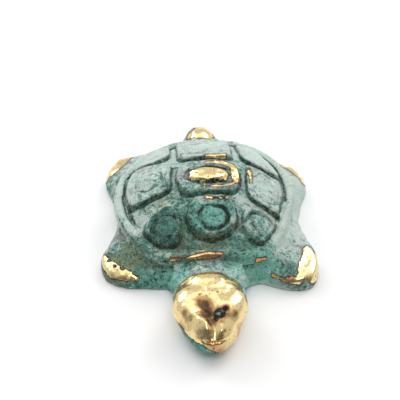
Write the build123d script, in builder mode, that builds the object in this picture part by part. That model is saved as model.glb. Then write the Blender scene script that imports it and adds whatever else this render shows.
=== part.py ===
"""Turtle figurine: a hollow cast shell on a cast body, with the head, legs and tail let in on spigots.

Millimetres. The origin lies on the table under the middle of the shell. +Z is up, the head points to -Y, and the
turtle's own left side is at +X.
"""

from build123d import *

import math
import os

# Shell: a round dome, drawn in to its width once it is complete
shell_length = 47.0
shell_width = 41.0
seam_height = 6.5  # joint between carapace and body, above the table
dome_rise = 7.8  # crown of the dome above that joint
shell_wall = 2.4
bead_radius = 1.2  # rolled edge round the carapace
bead_inset = 0.7  # from the dome's edge in to the middle of the bead
bead_lift = 0.7  # from the joint up to the middle of the bead

# Scutes: plates in relief on the dome, three along the spine and three down each side, laid out to fill it
scute_relief = 1.6
scute_gap = 2.0
scute_corner = 1.3
scute_shift = -1.2  # middle of the pattern, from the middle of the shell towards the tail
scute_turn = 2.8  # degrees by which the pattern sits askew on the dome
centre_row_share = 0.238  # middle row's half length, as a share of the shell's
centre_width_share = 0.385  # middle spine scute's half width, as a share of the shell's
end_width_share = 0.327  # front and rear spine scutes, likewise
short_edge_share = 0.78  # a spine scute's short edge, as a share of its width
row_fan = 13.0  # degrees by which the rows of side scutes spread outwards
marginal_band = 1.9  # plain band between the scutes and the dome's edge
ring_width = 1.5  # raised ring round the edge of every scute
groove_width = 0.8
groove_depth = 0.7

# Body: a skirt that flares to the table, open above and below
skirt_inset = 0.5  # top of the skirt, inside the dome's edge
skirt_flare = 2.4  # foot of the skirt, outside its top
skirt_hollow = 0.5  # depth of the hollow in its flank
cavity_inset = 2.5  # wall of the cavity, inside the dome's edge
locating_height = 1.5  # ring under the carapace that drops inside the body
locating_wall = 1.8
fit_clearance = 0.12
plate_thickness = 1.6  # belly plate, let into the underside
plate_ledge = 1.2

# Neck: sections from inside the body's wall, low under the shell's edge, up to the nape
neck_root_behind = 2.0  # behind the dome's edge
neck_root_half_width = 10.8
neck_root_half_height = 3.0
neck_root_middle = 3.1  # height of the section's middle above the table
throat_ahead = 1.1  # ahead of the dome's edge
throat_half_width = 10.0
throat_half_height = 3.5
throat_middle = 3.5
rise_from_throat = 2.4
rise_half_width = 8.6
rise_half_height = 4.1
rise_middle = 4.3
nape_from_rise = 2.0
nape_half_width = 7.8
nape_half_height = 4.7
nape_middle = 5.5

# Head: sections from the nape to the nose
skull_from_nape = 4.5
skull_half_width = 8.2
skull_half_height = 5.0
skull_middle = 6.0
cheek_from_skull = 4.5
cheek_half_width = 8.5
cheek_half_height = 5.0
cheek_middle = 5.8
brow_from_cheek = 4.5
brow_half_width = 7.2
brow_half_height = 4.5
brow_middle = 5.2
snout_from_brow = 4.0
snout_half_width = 5.2
snout_half_height = 3.6
snout_middle = 4.6
nose_from_snout = 3.4
nose_half_width = 3.2
nose_half_height = 2.5
nose_middle = 4.2
nose_round = 1.8
eye_radius = 1.5
eye_from_cheek = 2.5
eye_proud = 0.5  # how far an eye stands out of the head
eye_slant = 30.0  # degrees above level in which an eye looks out
dish_radius = 9.0  # hollow between the brows
dish_from_brow = 0.5
dish_depth = 0.9
nostril_radius = 0.9
nostril_behind_nose = 1.8
nostril_apart = 3.4
nostril_proud = 0.3
mouth_below_middle = 0.8  # mouth line, below the middle of the nose
mouth_gap = 0.5
mouth_depth = 0.45
mouth_behind_brow = 1.5  # where the mouth's corners end

# Legs and tail: half ellipsoids that seat on stubs of the body
seat_standoff = 0.6  # from the skirt's foot out to a limb's seat
stub_depth = 5.0
stub_flare = 2.5  # how much wider a stub is at its root, each side
leg_half_width = 8.4
leg_half_height = 3.9
leg_middle = 1.2  # height of a leg's middle line above the table
front_left_angle = 44.1  # degrees ahead of straight sideways, on the round shell
front_left_length = 11.0
front_right_angle = 37.2
front_right_length = 8.8
rear_left_angle = 30.5  # degrees behind straight sideways, on the round shell
rear_left_length = 3.8
rear_right_angle = 35.2
rear_right_length = 6.0
tail_length = 6.4
tail_half_width = 3.9
tail_half_height = 4.0
tail_middle = 2.4
tail_shift = -1.2  # the tail curls to the turtle's right

# Spigots: round tenons brazed into bores in the body's wall
leg_spigot_radius = 1.3
tail_spigot_radius = 1.1
head_spigot_radius = 1.8
head_spigot_length = 6.0
spigot_end = 0.6  # length of a leg's or tail's spigot that shows inside the body

# Worked out from the above
half_length = shell_length / 2
half_width = shell_width / 2
plan_ratio = shell_width / shell_length
dome_radius = (half_length**2 + dome_rise**2) / (2 * dome_rise)
dome_middle = seam_height + dome_rise - dome_radius
cavity_radius = half_length - cavity_inset
ring_radius = cavity_radius - fit_clearance
plate_radius = cavity_radius + plate_ledge
skirt_top = half_length - skirt_inset
skirt_foot = skirt_top + skirt_flare
spigot_height = (plate_thickness + seam_height - locating_height) / 2
rise_ahead = throat_ahead + rise_from_throat
nape_ahead = rise_ahead + nape_from_rise
skull_ahead = nape_ahead + skull_from_nape
cheek_ahead = skull_ahead + cheek_from_skull
brow_ahead = cheek_ahead + brow_from_cheek
snout_ahead = brow_ahead + snout_from_brow
nose_ahead = snout_ahead + nose_from_snout
nape = (nape_ahead, nape_half_width, nape_half_height, nape_middle)
neck_sections = [
    (-neck_root_behind, neck_root_half_width, neck_root_half_height, neck_root_middle),
    (throat_ahead, throat_half_width, throat_half_height, throat_middle),
    (rise_ahead, rise_half_width, rise_half_height, rise_middle),
    nape,
]
head_sections = [
    nape,
    (skull_ahead, skull_half_width, skull_half_height, skull_middle),
    (cheek_ahead, cheek_half_width, cheek_half_height, cheek_middle),
    (brow_ahead, brow_half_width, brow_half_height, brow_middle),
    (snout_ahead, snout_half_width, snout_half_height, snout_middle),
    (nose_ahead, nose_half_width, nose_half_height, nose_middle),
]

os.makedirs("parts", exist_ok=True)


def save(part, name):
    """Names a finished piece and writes it."""
    part.label = name
    export_step(part, f"parts/{name}.step")


def drawn_in(part):
    """A round form, narrowed to the shell's width."""
    return scale(part, by=(plan_ratio, 1, 1), about=(0, 0, 0))


def both_halves(half):
    """A closed outline from the points of its right half."""
    return half + [(-x, y) for x, y in reversed(half) if x > 0]


def ahead_plane(ahead):
    """Upright plane across the neck or head, facing forwards."""
    return Plane.XZ.offset(half_length + ahead)


def lofted(sections):
    """A form through upright ellipses: distance ahead, half width, half height, height of the middle."""
    with BuildPart() as form:
        for ahead, across, up, middle in sections:
            with BuildSketch(ahead_plane(ahead)):
                with Locations((0, middle)):
                    Ellipse(across, up)
        loft()
    return form.part


def scute_outlines():
    """Plan outlines of the nine scutes before they are trimmed, as lists of points."""
    half_row = centre_row_share * half_length
    half_centre = centre_width_share * half_width
    half_end = end_width_share * half_width
    short_centre = short_edge_share * half_centre
    short_end = short_edge_share * half_end
    start = half_row + scute_gap
    stop = half_length - marginal_band - abs(scute_shift)
    first = start + (stop - start) / 3
    second = start + (stop - start) * 2 / 3
    row = half_row + math.tan(math.radians(row_fan)) * (half_length - short_centre - scute_gap)
    centre = [(short_centre, half_row), (half_centre, 0), (short_centre, -half_row)]
    end = [(short_end, start), (half_end, first), (short_end, second), (0, stop)]
    side = [
        (short_centre + scute_gap, half_row),
        (half_centre + scute_gap, 0),
        (short_centre + scute_gap, -half_row),
        (half_length, -row),
        (half_length, row),
    ]
    end_side = [
        (short_end + scute_gap, start),
        (half_end + scute_gap, first),
        (short_end + scute_gap, second),
        (short_end + scute_gap, half_length),
        (half_length, half_length),
        (half_length, row + scute_gap),
    ]
    outlines = [both_halves(centre)]
    for along in (1, -1):
        outlines.append([(x, along * y) for x, y in both_halves(end)])
        for across in (1, -1):
            outlines.append([(across * x, along * y) for x, y in end_side])
    for across in (1, -1):
        outlines.append([(across * x, y) for x, y in side])
    return outlines


def turned(point):
    """A point of the pattern, set askew on the shell."""
    place = Vector(point[0], point[1] + scute_shift).rotate(Axis.Z, scute_turn)
    return place.X, place.Y


# Plan of the scutes on the round dome: trimmed by the marginal band, with rounded corners
scute_faces = []
for outline in scute_outlines():
    with BuildSketch() as scute_plan:
        with BuildLine():
            Polyline([(x / plan_ratio, y) for x, y in map(turned, outline)], close=True)
        make_face()
        Circle(half_length - marginal_band, mode=Mode.INTERSECT)
    pared = offset(scute_plan.face(), amount=-scute_corner, kind=Kind.INTERSECTION)
    scute_faces.append(offset(pared, amount=scute_corner, kind=Kind.ARC))

# Scutes: upright prisms cut off parallel to the dome, each with a groove inside its raised ring
prism_height = dome_rise + 2 * scute_relief
with BuildPart() as scutes:
    with BuildSketch(Plane.XY.offset(seam_height)):
        add(scute_faces)
    extrude(amount=prism_height)
    with Locations((0, 0, dome_middle)):
        Sphere(dome_radius + scute_relief, mode=Mode.INTERSECT)

groove_outer = [offset(face, amount=-ring_width) for face in scute_faces]
groove_inner = [offset(face, amount=-ring_width - groove_width) for face in scute_faces]
with BuildPart() as scute_grooves:
    with BuildSketch(Plane.XY.offset(seam_height)):
        add(groove_outer)
        add(groove_inner, mode=Mode.SUBTRACT)
    extrude(amount=prism_height)
    with Locations((0, 0, dome_middle)):
        Sphere(dome_radius + scute_relief - groove_depth, mode=Mode.SUBTRACT)

# Carapace: the dome with its rolled edge, hollow below, with a ring that locates it in the body
with BuildPart() as round_carapace:
    with BuildSketch(Plane.XZ):
        with Locations((0, dome_middle)):
            Circle(dome_radius)
        with Locations((half_length - bead_inset, seam_height + bead_lift)):
            Circle(bead_radius)
        with Locations((0, seam_height)):
            Rectangle(shell_length, shell_length, align=(Align.MIN, Align.MIN), mode=Mode.INTERSECT)
    revolve(axis=Axis.Z)
    add(scutes.part)
    add(scute_grooves.part, mode=Mode.SUBTRACT)
    with BuildSketch(Plane.XY.offset(seam_height - locating_height)):
        Circle(ring_radius)
    extrude(amount=locating_height)
    with BuildSketch(Plane.XZ):
        with Locations((0, dome_middle)):
            Circle(dome_radius - shell_wall)
        with Locations((0, seam_height - locating_height)):
            Rectangle(
                ring_radius - locating_wall,
                shell_length,
                align=(Align.MIN, Align.MIN),
                mode=Mode.INTERSECT,
            )
    revolve(axis=Axis.Z, mode=Mode.SUBTRACT)
save(drawn_in(round_carapace.part), "carapace")

# Belly plate: closes the cavity from below, flush with the skirt's foot
with BuildPart() as round_plate:
    with BuildSketch(Plane.XY):
        Circle(plate_radius)
    extrude(amount=plate_thickness)
save(drawn_in(round_plate.part), "plastron")


def limb_seat(angle, height, shift=0.0):
    """Upright plane across a limb, facing outwards, beyond the skirt's foot at an angle of the round shell."""
    across = math.cos(math.radians(angle)) * skirt_foot * plan_ratio
    along = math.sin(math.radians(angle)) * skirt_foot
    outwards = Vector(across, along, 0).normalized()
    middle = Vector(across + shift, along, height) + outwards * seat_standoff
    return Plane(origin=middle, z_dir=outwards, x_dir=Vector(0, 0, 1))


def wall_depth(angle):
    """Thickness of the body from a limb's seat in to the cavity."""
    across = math.cos(math.radians(angle)) * plan_ratio
    along = math.sin(math.radians(angle))
    return (skirt_foot - cavity_radius) * math.hypot(across, along) + seat_standoff


def limb_spigot(seat, radius, length):
    """Round bar from a limb's seat inwards."""
    with BuildPart() as bar:
        with BuildSketch(seat):
            with Locations((spigot_height - seat.origin.Z, 0)):
                Circle(radius)
        extrude(amount=-length)
    return bar.part


def limb(seat, length, across, up):
    """Leg or tail: half an ellipsoid beyond its seat, flat below."""
    with BuildPart() as ball:
        Sphere(1)
    stretched = scale(ball.part, by=(up, across, length), about=(0, 0, 0))
    with BuildPart() as form:
        add(stretched.moved(seat.location))
        split(bisect_by=seat, keep=Keep.TOP)
        split(bisect_by=Plane.XY, keep=Keep.TOP)
    return form.part


def limb_stub(seat, across, up):
    """Flared stub of the body that carries a limb, from its seat back into the wall."""
    with BuildPart() as stub:
        with BuildSketch(seat):
            Ellipse(up, across)
        with BuildSketch(seat.offset(-stub_depth)):
            Ellipse(up, across + stub_flare)
        loft()
        split(bisect_by=Plane.XY, keep=Keep.TOP)
    return stub.part


# Legs: name, angle of the round shell from the turtle's left, length
legs = [
    ("front_left_leg", -front_left_angle, front_left_length),
    ("front_right_leg", 180 + front_right_angle, front_right_length),
    ("rear_left_leg", rear_left_angle, rear_left_length),
    ("rear_right_leg", 180 - rear_right_angle, rear_right_length),
]

# Every limb: name, seat, length, half width and half height, spigot radius, spigot length
limbs = []
for name, angle, length in legs:
    size = (length, leg_half_width, leg_half_height)
    spigot_length = wall_depth(angle) + spigot_end
    limbs.append((name, limb_seat(angle, leg_middle), size, leg_spigot_radius, spigot_length))
tail_seat = limb_seat(90, tail_middle, tail_shift)
tail_size = (tail_length, tail_half_width, tail_half_height)
limbs.append(("tail", tail_seat, tail_size, tail_spigot_radius, wall_depth(90) + spigot_end))

stubs = []
bores = []
for name, seat, size, spigot_radius, spigot_length in limbs:
    form = limb(seat, *size)
    spigot = limb_spigot(seat, spigot_radius, spigot_length)
    stubs.append(limb_stub(seat, size[1], size[2]))
    bores.append(limb_spigot(seat, spigot_radius + fit_clearance, spigot_length))
    with BuildPart() as piece:
        add(form)
        add(spigot)
    save(piece.part, name)


def head_spigot(radius, length):
    """Round bar from the head's seat back into the neck."""
    with BuildPart() as bar:
        with BuildSketch(ahead_plane(nape_ahead)):
            with Locations((0, spigot_height)):
                Circle(radius)
        extrude(amount=-length)
    return bar.part


# Head: lofted skull with a rounded nose, a dish between the brows, eyes, nostrils and a mouth line
skull = lofted(head_sections)
peg = head_spigot(head_spigot_radius, head_spigot_length)
inner_sections = [(a, w - mouth_depth, h - mouth_depth, m) for a, w, h, m in head_sections]
inner_sections[-1] = (nose_ahead - mouth_depth, *inner_sections[-1][1:])
inner_skull = lofted(inner_sections)
inner_skull = fillet(inner_skull.edges().group_by(Axis.Y)[0], nose_round - mouth_depth)
with BuildPart() as mouth:
    with BuildSketch(Plane.XY.offset(nose_middle - mouth_below_middle - mouth_gap / 2)):
        with Locations((0, -half_length - brow_ahead + mouth_behind_brow)):
            Rectangle(4 * brow_half_width, 2 * nose_ahead, align=(Align.CENTER, Align.MAX))
    extrude(amount=mouth_gap)
    add(inner_skull, mode=Mode.SUBTRACT)


def head_section(ahead):
    """Half width, half height and middle of the head, between its sections."""
    behind, before = [pair for pair in zip(head_sections, head_sections[1:]) if pair[1][0] >= ahead][0]
    share = (ahead - behind[0]) / (before[0] - behind[0])
    return [a + (b - a) * share for a, b in zip(behind[1:], before[1:])]


eye_ahead = cheek_ahead + eye_from_cheek
eye_sunk = eye_radius - eye_proud
across, up, middle = head_section(eye_ahead)
eye_side = (across - eye_sunk) * math.cos(math.radians(eye_slant))
eye_height = middle + (up - eye_sunk) * math.sin(math.radians(eye_slant))
dish_ahead = brow_ahead + dish_from_brow
across, up, middle = head_section(dish_ahead)
dish_centre = middle + up - dish_depth + dish_radius
nostril_ahead = nose_ahead - nostril_behind_nose
nostril_side = nostril_apart / 2
across, up, middle = head_section(nostril_ahead)
nostril_height = middle + up * math.sqrt(1 - (nostril_side / across) ** 2) - nostril_radius + nostril_proud
with BuildPart() as head:
    add(skull)
    fillet(head.edges().group_by(Axis.Y)[0], nose_round)
    with Locations((0, -half_length - dish_ahead, dish_centre)):
        Sphere(dish_radius, mode=Mode.SUBTRACT)
    for side in (1, -1):
        with Locations((side * eye_side, -half_length - eye_ahead, eye_height)):
            Sphere(eye_radius)
        with Locations((side * nostril_side, -half_length - nostril_ahead, nostril_height)):
            Sphere(nostril_radius)
    add(mouth.part, mode=Mode.SUBTRACT)
    add(peg)
save(head.part, "head")

# Body: flared skirt with the neck and the stubs, then the cavity, the plate's rebate and the bores
with BuildPart() as round_skirt:
    with BuildSketch(Plane.XZ):
        with BuildLine():
            flank_middle = ((skirt_top + skirt_foot) / 2 - skirt_hollow, seam_height / 2)
            ThreePointArc((skirt_top, seam_height), flank_middle, (skirt_foot, 0))
            Polyline((skirt_foot, 0), (0, 0), (0, seam_height), (skirt_top, seam_height))
        make_face()
    revolve(axis=Axis.Z)
with BuildPart() as round_hollow:
    with BuildSketch(Plane.XY):
        Circle(plate_radius + fit_clearance)
    extrude(amount=plate_thickness)
    with BuildSketch(Plane.XY):
        Circle(cavity_radius)
    extrude(amount=2 * seam_height)
with BuildPart() as round_clearance:
    with BuildSketch(Plane.XY.offset(seam_height)):
        Circle(half_length - bead_inset + bead_radius + 2 * fit_clearance)
    extrude(amount=seam_height)
skirt = drawn_in(round_skirt.part)
hollow = drawn_in(round_hollow.part)
clearance = drawn_in(round_clearance.part)
neck = lofted(neck_sections)
head_bore = head_spigot(head_spigot_radius + fit_clearance, head_spigot_length + fit_clearance)
with BuildPart() as body:
    add(skirt)
    add(neck)
    add(stubs)
    add([clearance, hollow, head_bore] + bores, mode=Mode.SUBTRACT)
save(body.part, "body")
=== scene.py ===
import math

import bmesh
import bpy
import numpy as np
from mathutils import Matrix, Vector


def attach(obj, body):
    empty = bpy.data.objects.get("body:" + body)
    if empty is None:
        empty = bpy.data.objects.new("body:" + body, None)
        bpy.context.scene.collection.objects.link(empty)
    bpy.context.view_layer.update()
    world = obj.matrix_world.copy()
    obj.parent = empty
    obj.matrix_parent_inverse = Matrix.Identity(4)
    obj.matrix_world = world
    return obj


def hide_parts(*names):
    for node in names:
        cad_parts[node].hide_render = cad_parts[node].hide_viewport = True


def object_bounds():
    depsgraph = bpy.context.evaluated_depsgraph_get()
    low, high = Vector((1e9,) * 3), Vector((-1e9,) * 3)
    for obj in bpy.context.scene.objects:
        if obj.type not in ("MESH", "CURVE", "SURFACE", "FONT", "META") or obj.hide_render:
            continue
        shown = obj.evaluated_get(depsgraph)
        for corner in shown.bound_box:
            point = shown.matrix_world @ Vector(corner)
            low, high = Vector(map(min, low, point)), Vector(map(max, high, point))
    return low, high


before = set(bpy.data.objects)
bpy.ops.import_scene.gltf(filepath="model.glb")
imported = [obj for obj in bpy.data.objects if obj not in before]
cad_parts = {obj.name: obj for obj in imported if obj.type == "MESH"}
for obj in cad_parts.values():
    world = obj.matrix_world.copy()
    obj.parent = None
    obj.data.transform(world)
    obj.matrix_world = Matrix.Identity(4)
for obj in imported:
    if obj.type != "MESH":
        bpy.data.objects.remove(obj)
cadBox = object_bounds()
print("frame:", len(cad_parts), "nodes")

mm = 0.001  # the sculpt is worked out in millimetres and stored in metres
sculpt = {
    "voxel": 0.25,  # spacing of the sculpt's grid
    "margin": 1.5,
    "polish": 4,  # steps that pull the mesh onto the exact surface
    "lumps": 0.1,  # unevenness of the casting
    "dents": 0.035,
    "seed": 11,
}


# Blending tools for the sculpt: every form is a distance, negative inside

def smoothUnion(a, b, soft):
    share = np.clip(0.5 + 0.5 * (b - a) / soft, 0, 1)
    return b + (a - b) * share - soft * share * (1 - share)


def smoothCut(a, b, soft):
    return -smoothUnion(-a, -b, soft)


def step(low, high, value):
    t = np.clip((value - low) / (high - low), 0, 1)
    return t * t * (3 - 2 * t)


def bump(value, middle, width):
    return np.exp(-(((value - middle) / width) ** 2))


def ellipsoid(x, y, z, middle, radii):
    u = [(v - m) / r for v, m, r in zip((x, y, z), middle, radii)]
    reach = np.sqrt(u[0] ** 2 + u[1] ** 2 + u[2] ** 2) + 1e-6
    slope = np.sqrt(sum((c / r) ** 2 for c, r in zip(u, radii))) + 1e-6
    return reach * (reach - 1) / slope


def unevenness(x, y, z, size, seed):
    rng = np.random.default_rng(seed)
    total = 0
    for _ in range(7):
        way = rng.normal(size=3)
        way *= 2 * math.pi / size * rng.uniform(0.6, 1.5) / np.linalg.norm(way)
        total = total + np.sin(way[0] * x + way[1] * y + way[2] * z + rng.uniform(0, 6.3))
    return total / 7 ** 0.5


def smoothCurve(place, at, value):
    # smooth curve through values at given places
    slope = np.gradient(value, at)
    place = np.clip(place, at[0], at[-1])
    i = np.clip(np.searchsorted(at, place, side="right") - 1, 0, len(at) - 2)
    gap = at[i + 1] - at[i]
    t = (place - at[i]) / gap
    first = value[i] * (1 + 2 * t) * (1 - t) ** 2 + slope[i] * gap * t * (1 - t) ** 2
    return first + value[i + 1] * t * t * (3 - 2 * t) - slope[i + 1] * gap * t * t * (1 - t)


def closedCurve(angle, knots):
    # the same round a full turn, with the angles of the knots in degrees
    at = np.radians([a for a, _ in knots])
    value = np.array([v for _, v in knots])
    at = np.concatenate([at[-2:] - 2 * math.pi, at, at[:3] + 2 * math.pi])
    value = np.concatenate([value[-2:], value, value[:3]])
    return smoothCurve(np.mod(angle, 2 * math.pi), at, value)


# Shell: a dome with a rolled rim and nine scutes in relief
shell = {
    "halfLength": 23.5,
    "halfWidth": 20.5,
    "seam": 6.5,  # joint of carapace and body above the table
    "rise": 8.2,
    "rim": {"radius": 1.2, "inset": 0.8, "lift": 0.75},
    "band": (21.2, 0.55, 0.8),  # hollow inside the rim: middle, half width, depth
    "channel": 0.45,  # how far the grooves between scutes sink in
    "turn": 2.8,  # the pattern sits a little askew on the dome, in degrees
    # the edge is squarer than an oval in front and arches over the neck: angle, stretch and lift
    "edge": [(0, 1.02, 0), (40, 1.0, 0), (65, 0.99, -0.7), (90, 0.98, -0.9), (115, 0.99, -0.7), (140, 1.03, -0.2),
             (160, 1.07, 0), (180, 1.09, 0), (203, 1.09, 0), (219, 1.09, 0), (229, 1.10, -0.1), (239, 1.105, -0.2), (247, 1.08, 0), (256, 1.03, 0.4),
             (264, 0.985, 0.8), (272, 0.97, 0.9), (280, 0.99, 0.7), (288, 1.04, 0.2), (296, 1.1, -0.3), (304, 1.12, -0.4),
             (312, 1.08, -0.2), (322, 1.04, 0), (340, 1.0, 0)],
}
planRatio = shell["halfWidth"] / shell["halfLength"]
domeRadius = (shell["halfLength"] ** 2 + shell["rise"] ** 2) / (2 * shell["rise"])
domeMiddle = shell["seam"] + shell["rise"] - domeRadius

# Outlines in plan; height of the edge, width of its slope, softness of its corners and its lip;
# core as middle, half sizes and rise; moat round the core as width and depth
scutes = {
    "spineFront": {
        "outline": [(-4.2, -8.1), (4.6, -8.1), (6.7, -12.4), (5.4, -17.0), (0.2, -19.2), (-5.2, -17.0), (-6.6, -12.6)],
        "relief": 1.7, "slope": 0.5, "corner": 0.9, "lip": 0.3, "core": ((0.6, -14.3), (2.7, 2.6), 0.1), "full": 2.2,
        "moat": (0.5, 0.8), "dimple": 0.45,
    },
    "spineMiddle": {
        "outline": [(-6.6, -6.9), (6.7, -6.9), (8.4, -1.0), (6.9, 4.8), (-6.7, 4.8), (-8.1, -1.0)],
        "relief": 1.4, "slope": 0.35, "corner": 0.8, "lip": 0.12, "core": ((0.3, -1.3), (4.6, 2.3), 0.25), "full": 3.0,
        "moat": (0.5, 0.75), "dimple": 0.0,
    },
    "spineRear": {
        "outline": [(-7.0, 6.5), (7.0, 6.5), (7.2, 12.0), (6.6, 18.6), (-6.6, 18.6), (-7.2, 12.0)],
        "relief": 1.2, "slope": 0.3, "corner": 0.6, "lip": 0.1, "core": ((0, 12.0), (4.6, 3.6), 0.0), "full": 3.0,
        "moat": (0.35, 0.16), "dimple": 0.0,
    },
    "sideFrontLeft": {
        "outline": [(7.2, -10.6), (11.2, -9.6), (15.6, -11.4), (17.2, -14.4), (15.2, -18.2), (10.4, -20.2), (7.0, -18.4),
                    (6.4, -14.4)],
        "relief": 1.8, "slope": 0.6, "corner": 1.2, "lip": 0.3, "core": ((11.4, -15.5), (2.1, 2.1), 0.1), "full": 2.0,
        "moat": (0.65, 0.6), "dimple": 0.4,
    },
    "sideFrontRight": {
        "outline": [(-7.2, -10.2), (-11.2, -8.6), (-15.6, -10.4), (-17.2, -14.0), (-15.2, -18.2), (-10.4, -20.2),
                    (-7.0, -18.4), (-6.2, -14.4)],
        "relief": 1.8, "slope": 0.6, "corner": 1.2, "lip": 0.3, "core": ((-11.2, -15.2), (2.4, 2.5), 0.1), "full": 2.0,
        "moat": (0.65, 0.6), "dimple": 0.4,
    },
    "sideMiddleLeft": {
        "outline": [(9.0, 4.8), (12.5, 3.7), (15.8, 2.3), (17.9, -1.0), (19.4, -5.5), (18.8, -11.6), (13.6, -9.8),
                    (10.2, -8.5), (8.7, -6.2), (9.0, -1.8)],
        "relief": 1.4, "slope": 0.25, "corner": 0.45, "lip": 0.12, "core": ((14.2, -3.8), (2.8, 4.0), 0.0), "full": 2.4,
        "moat": (0.4, 0.22), "dimple": 0.0,
    },
    "sideMiddleRight": {
        "outline": [(-8.2, 5.8), (-11.2, 7.3), (-13.6, 8.0), (-16.5, 8.5), (-19.4, 8.0), (-20.4, 0), (-18.8, -6.2),
                    (-14.2, -5.7), (-8.9, -4.9), (-8.5, 0)],
        "relief": 1.4, "slope": 0.25, "corner": 0.45, "lip": 0.12, "core": ((-14.4, 0.6), (3.0, 3.2), 0.0), "full": 2.4,
        "moat": (0.4, 0.22), "dimple": 0.0,
    },
    "sideRearLeft": {
        "outline": [(8.4, 8.2), (10.2, 5.9), (14.1, 4.2), (17.9, 3.6), (18.3, 6.5), (16.8, 10.6), (13.4, 15.0),
                    (9.7, 18.4), (8.0, 18.8), (7.9, 13.0)],
        "relief": 1.2, "slope": 0.25, "corner": 0.45, "lip": 0.1, "core": ((12.6, 10.2), (2.4, 2.6), 0.0), "full": 2.4,
        "moat": (0.35, 0.14), "dimple": 0.0,
    },
    "sideRearRight": {
        "outline": [(-8.1, 10.2), (-10.1, 9.0), (-13.5, 8.8), (-16.9, 9.3), (-17.4, 11.8), (-14.8, 15.8), (-11.4, 18.6),
                    (-8.4, 19.4), (-7.9, 15.0)],
        "relief": 1.2, "slope": 0.25, "corner": 0.45, "lip": 0.1, "core": ((-12.2, 13.2), (2.4, 2.2), 0.0), "full": 2.4,
        "moat": (0.35, 0.14), "dimple": 0.0,
    },
}


def outlineDepth(x, y, outline, corner):
    # depth inside a convex outline, with softly turned corners
    middle = np.mean(outline, axis=0)
    total = 0
    for (x0, y0), (x1, y1) in zip(outline, outline[1:] + outline[:1]):
        nx, ny = y1 - y0, x0 - x1
        length = math.hypot(nx, ny)
        if nx * (middle[0] - x0) + ny * (middle[1] - y0) > 0:
            length = -length
        out = (nx * (x - x0) + ny * (y - y0)) / length
        total = total + np.exp(np.clip(out / corner, -40, 40))
    return -corner * np.log(total)


def ovalDistance(x, y, middle, half, full=3.2):
    # signed distance from an oval a little fuller than an ellipse
    share = np.abs((x - middle[0]) / half[0]) ** full + np.abs((y - middle[1]) / half[1]) ** full
    return (share ** (1 / full) - 1) * min(half)


def scuteRelief(x, y, far):
    total = 0
    turn = math.radians(shell["turn"])
    x, y = x * math.cos(turn) + y * math.sin(turn), y * math.cos(turn) - x * math.sin(turn)
    wander = unevenness(x, y, 0 * x, 8.0, sculpt["seed"] + 1)
    ragged = 0.13 * unevenness(x, y, 0 * x, 3.0, sculpt["seed"] + 2)
    for scute in scutes.values():
        middle, half, rise = scute["core"]
        width, sunk = scute["moat"]
        depth = outlineDepth(x, y, scute["outline"], scute["corner"]) + ragged
        out = ovalDistance(x, y, middle, half, scute["full"]) + 1.6 * ragged
        slope = scute["slope"]
        mound = scute["relief"] * step(-slope, slope + 0.2, depth) + 0.3 * step(0.3, 5.0, depth)
        lip = scute["lip"] * bump(depth, 0.8, 0.45)
        moat = sunk * bump(out, 0.8 * width, width) * (1 + 0.3 * wander)
        core = rise * step(0.3, -0.4, out)
        dimple = scute["dimple"] * np.exp(-((x - middle[0]) ** 2 + (y - middle[1]) ** 2) / 0.5)
        total = total + mound + lip + core - moat - dimple
    middle, width, sunk = shell["band"]
    band = sunk * bump(far, middle, width) * step(-12.0, -8.0, y)
    return total * step(22.2, 21.0, far) - shell["channel"] * step(23.0, 21.0, far) - band


def shellForm(x, y, z):
    rim = shell["rim"]
    angle = np.arctan2(y, x)
    round_ = np.hypot(x / planRatio, y) / closedCurve(angle, [(a, s) for a, s, _ in shell["edge"]])
    dome = np.hypot(round_, z - domeMiddle) - domeRadius - scuteRelief(x, y, round_)
    dome = smoothCut(dome, shell["seam"] - 0.2 - z, 0.4)
    middle = shell["seam"] + rim["lift"] + closedCurve(angle, [(a, h) for a, _, h in shell["edge"]])
    edge = np.hypot(round_ - shell["halfLength"] + rim["inset"], z - middle) - rim["radius"]
    return smoothUnion(dome, edge, 1.2)


# Body: a skirt that runs out into four flippers, with the neck and the tail
body = {
    # outline on the table: angle from the turtle's left, distance from the middle
    "outline": [(0, 22.5), (12, 24.2), (22, 26.8), (33, 27.2), (46, 25.8), (58, 24.2), (72, 24.0), (90, 24.4),
                (108, 24.2), (121, 25.4), (132, 29.0), (141, 29.7), (152, 28.6), (160, 25.6), (168, 23.2), (178, 22.4),
                (195, 23.2), (204, 26.2), (213, 30.8), (221, 32.6), (230, 31.8), (240, 29.0), (252, 27.0),
                (270, 26.0), (288, 26.6), (298, 27.4), (305, 32.2), (312, 35.0), (319, 34.0), (327, 30.4),
                (335, 26.2), (345, 23.4)],
    # height of its edge
    "edges": [(0, 2.6), (25, 4.2), (45, 4.0), (90, 3.6), (135, 4.2), (155, 4.0), (180, 2.6), (200, 2.8),
              (222, 3.2), (245, 2.4), (270, 3.0), (295, 2.4), (312, 3.6), (330, 4.4), (345, 3.0)],
    "shoulder": [(0, 6.0), (30, 6.2), (60, 6.0), (90, 6.2), (120, 6.0), (150, 6.2), (180, 6.0), (210, 6.4), (235, 6.8), (252, 7.3), (272, 8.0),
                 (288, 7.4), (305, 6.8), (330, 6.4)],
    "sweep": 1.6,  # how quickly the top falls from the rim
    "edgeRound": 2.0,
    "plateRadius": 22.4,  # rebate for the belly plate
    "plateDepth": 1.75,
    "footEdge": 0.6,
}
legs = {
    "front_left_leg": {"angle": -44.1, "sides": (-8.2, 12.5)},
    "front_right_leg": {"angle": 217.2, "sides": (-12.5, 10.5)},
    "rear_left_leg": {"angle": 30.5, "sides": (-12.5, 12.5)},
    "rear_right_leg": {"angle": 144.8, "sides": (-12.5, 12.5)},
}
skirtFoot = 25.4
seatStandoff = 0.6
tail = {"seat": 26.0, "form": ((-1.3, 27.0, 2.3), (4.1, 5.6, 4.2)), "foot": ((-0.8, 25.6, 1.6), (5.8, 4.6, 3.4))}


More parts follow.
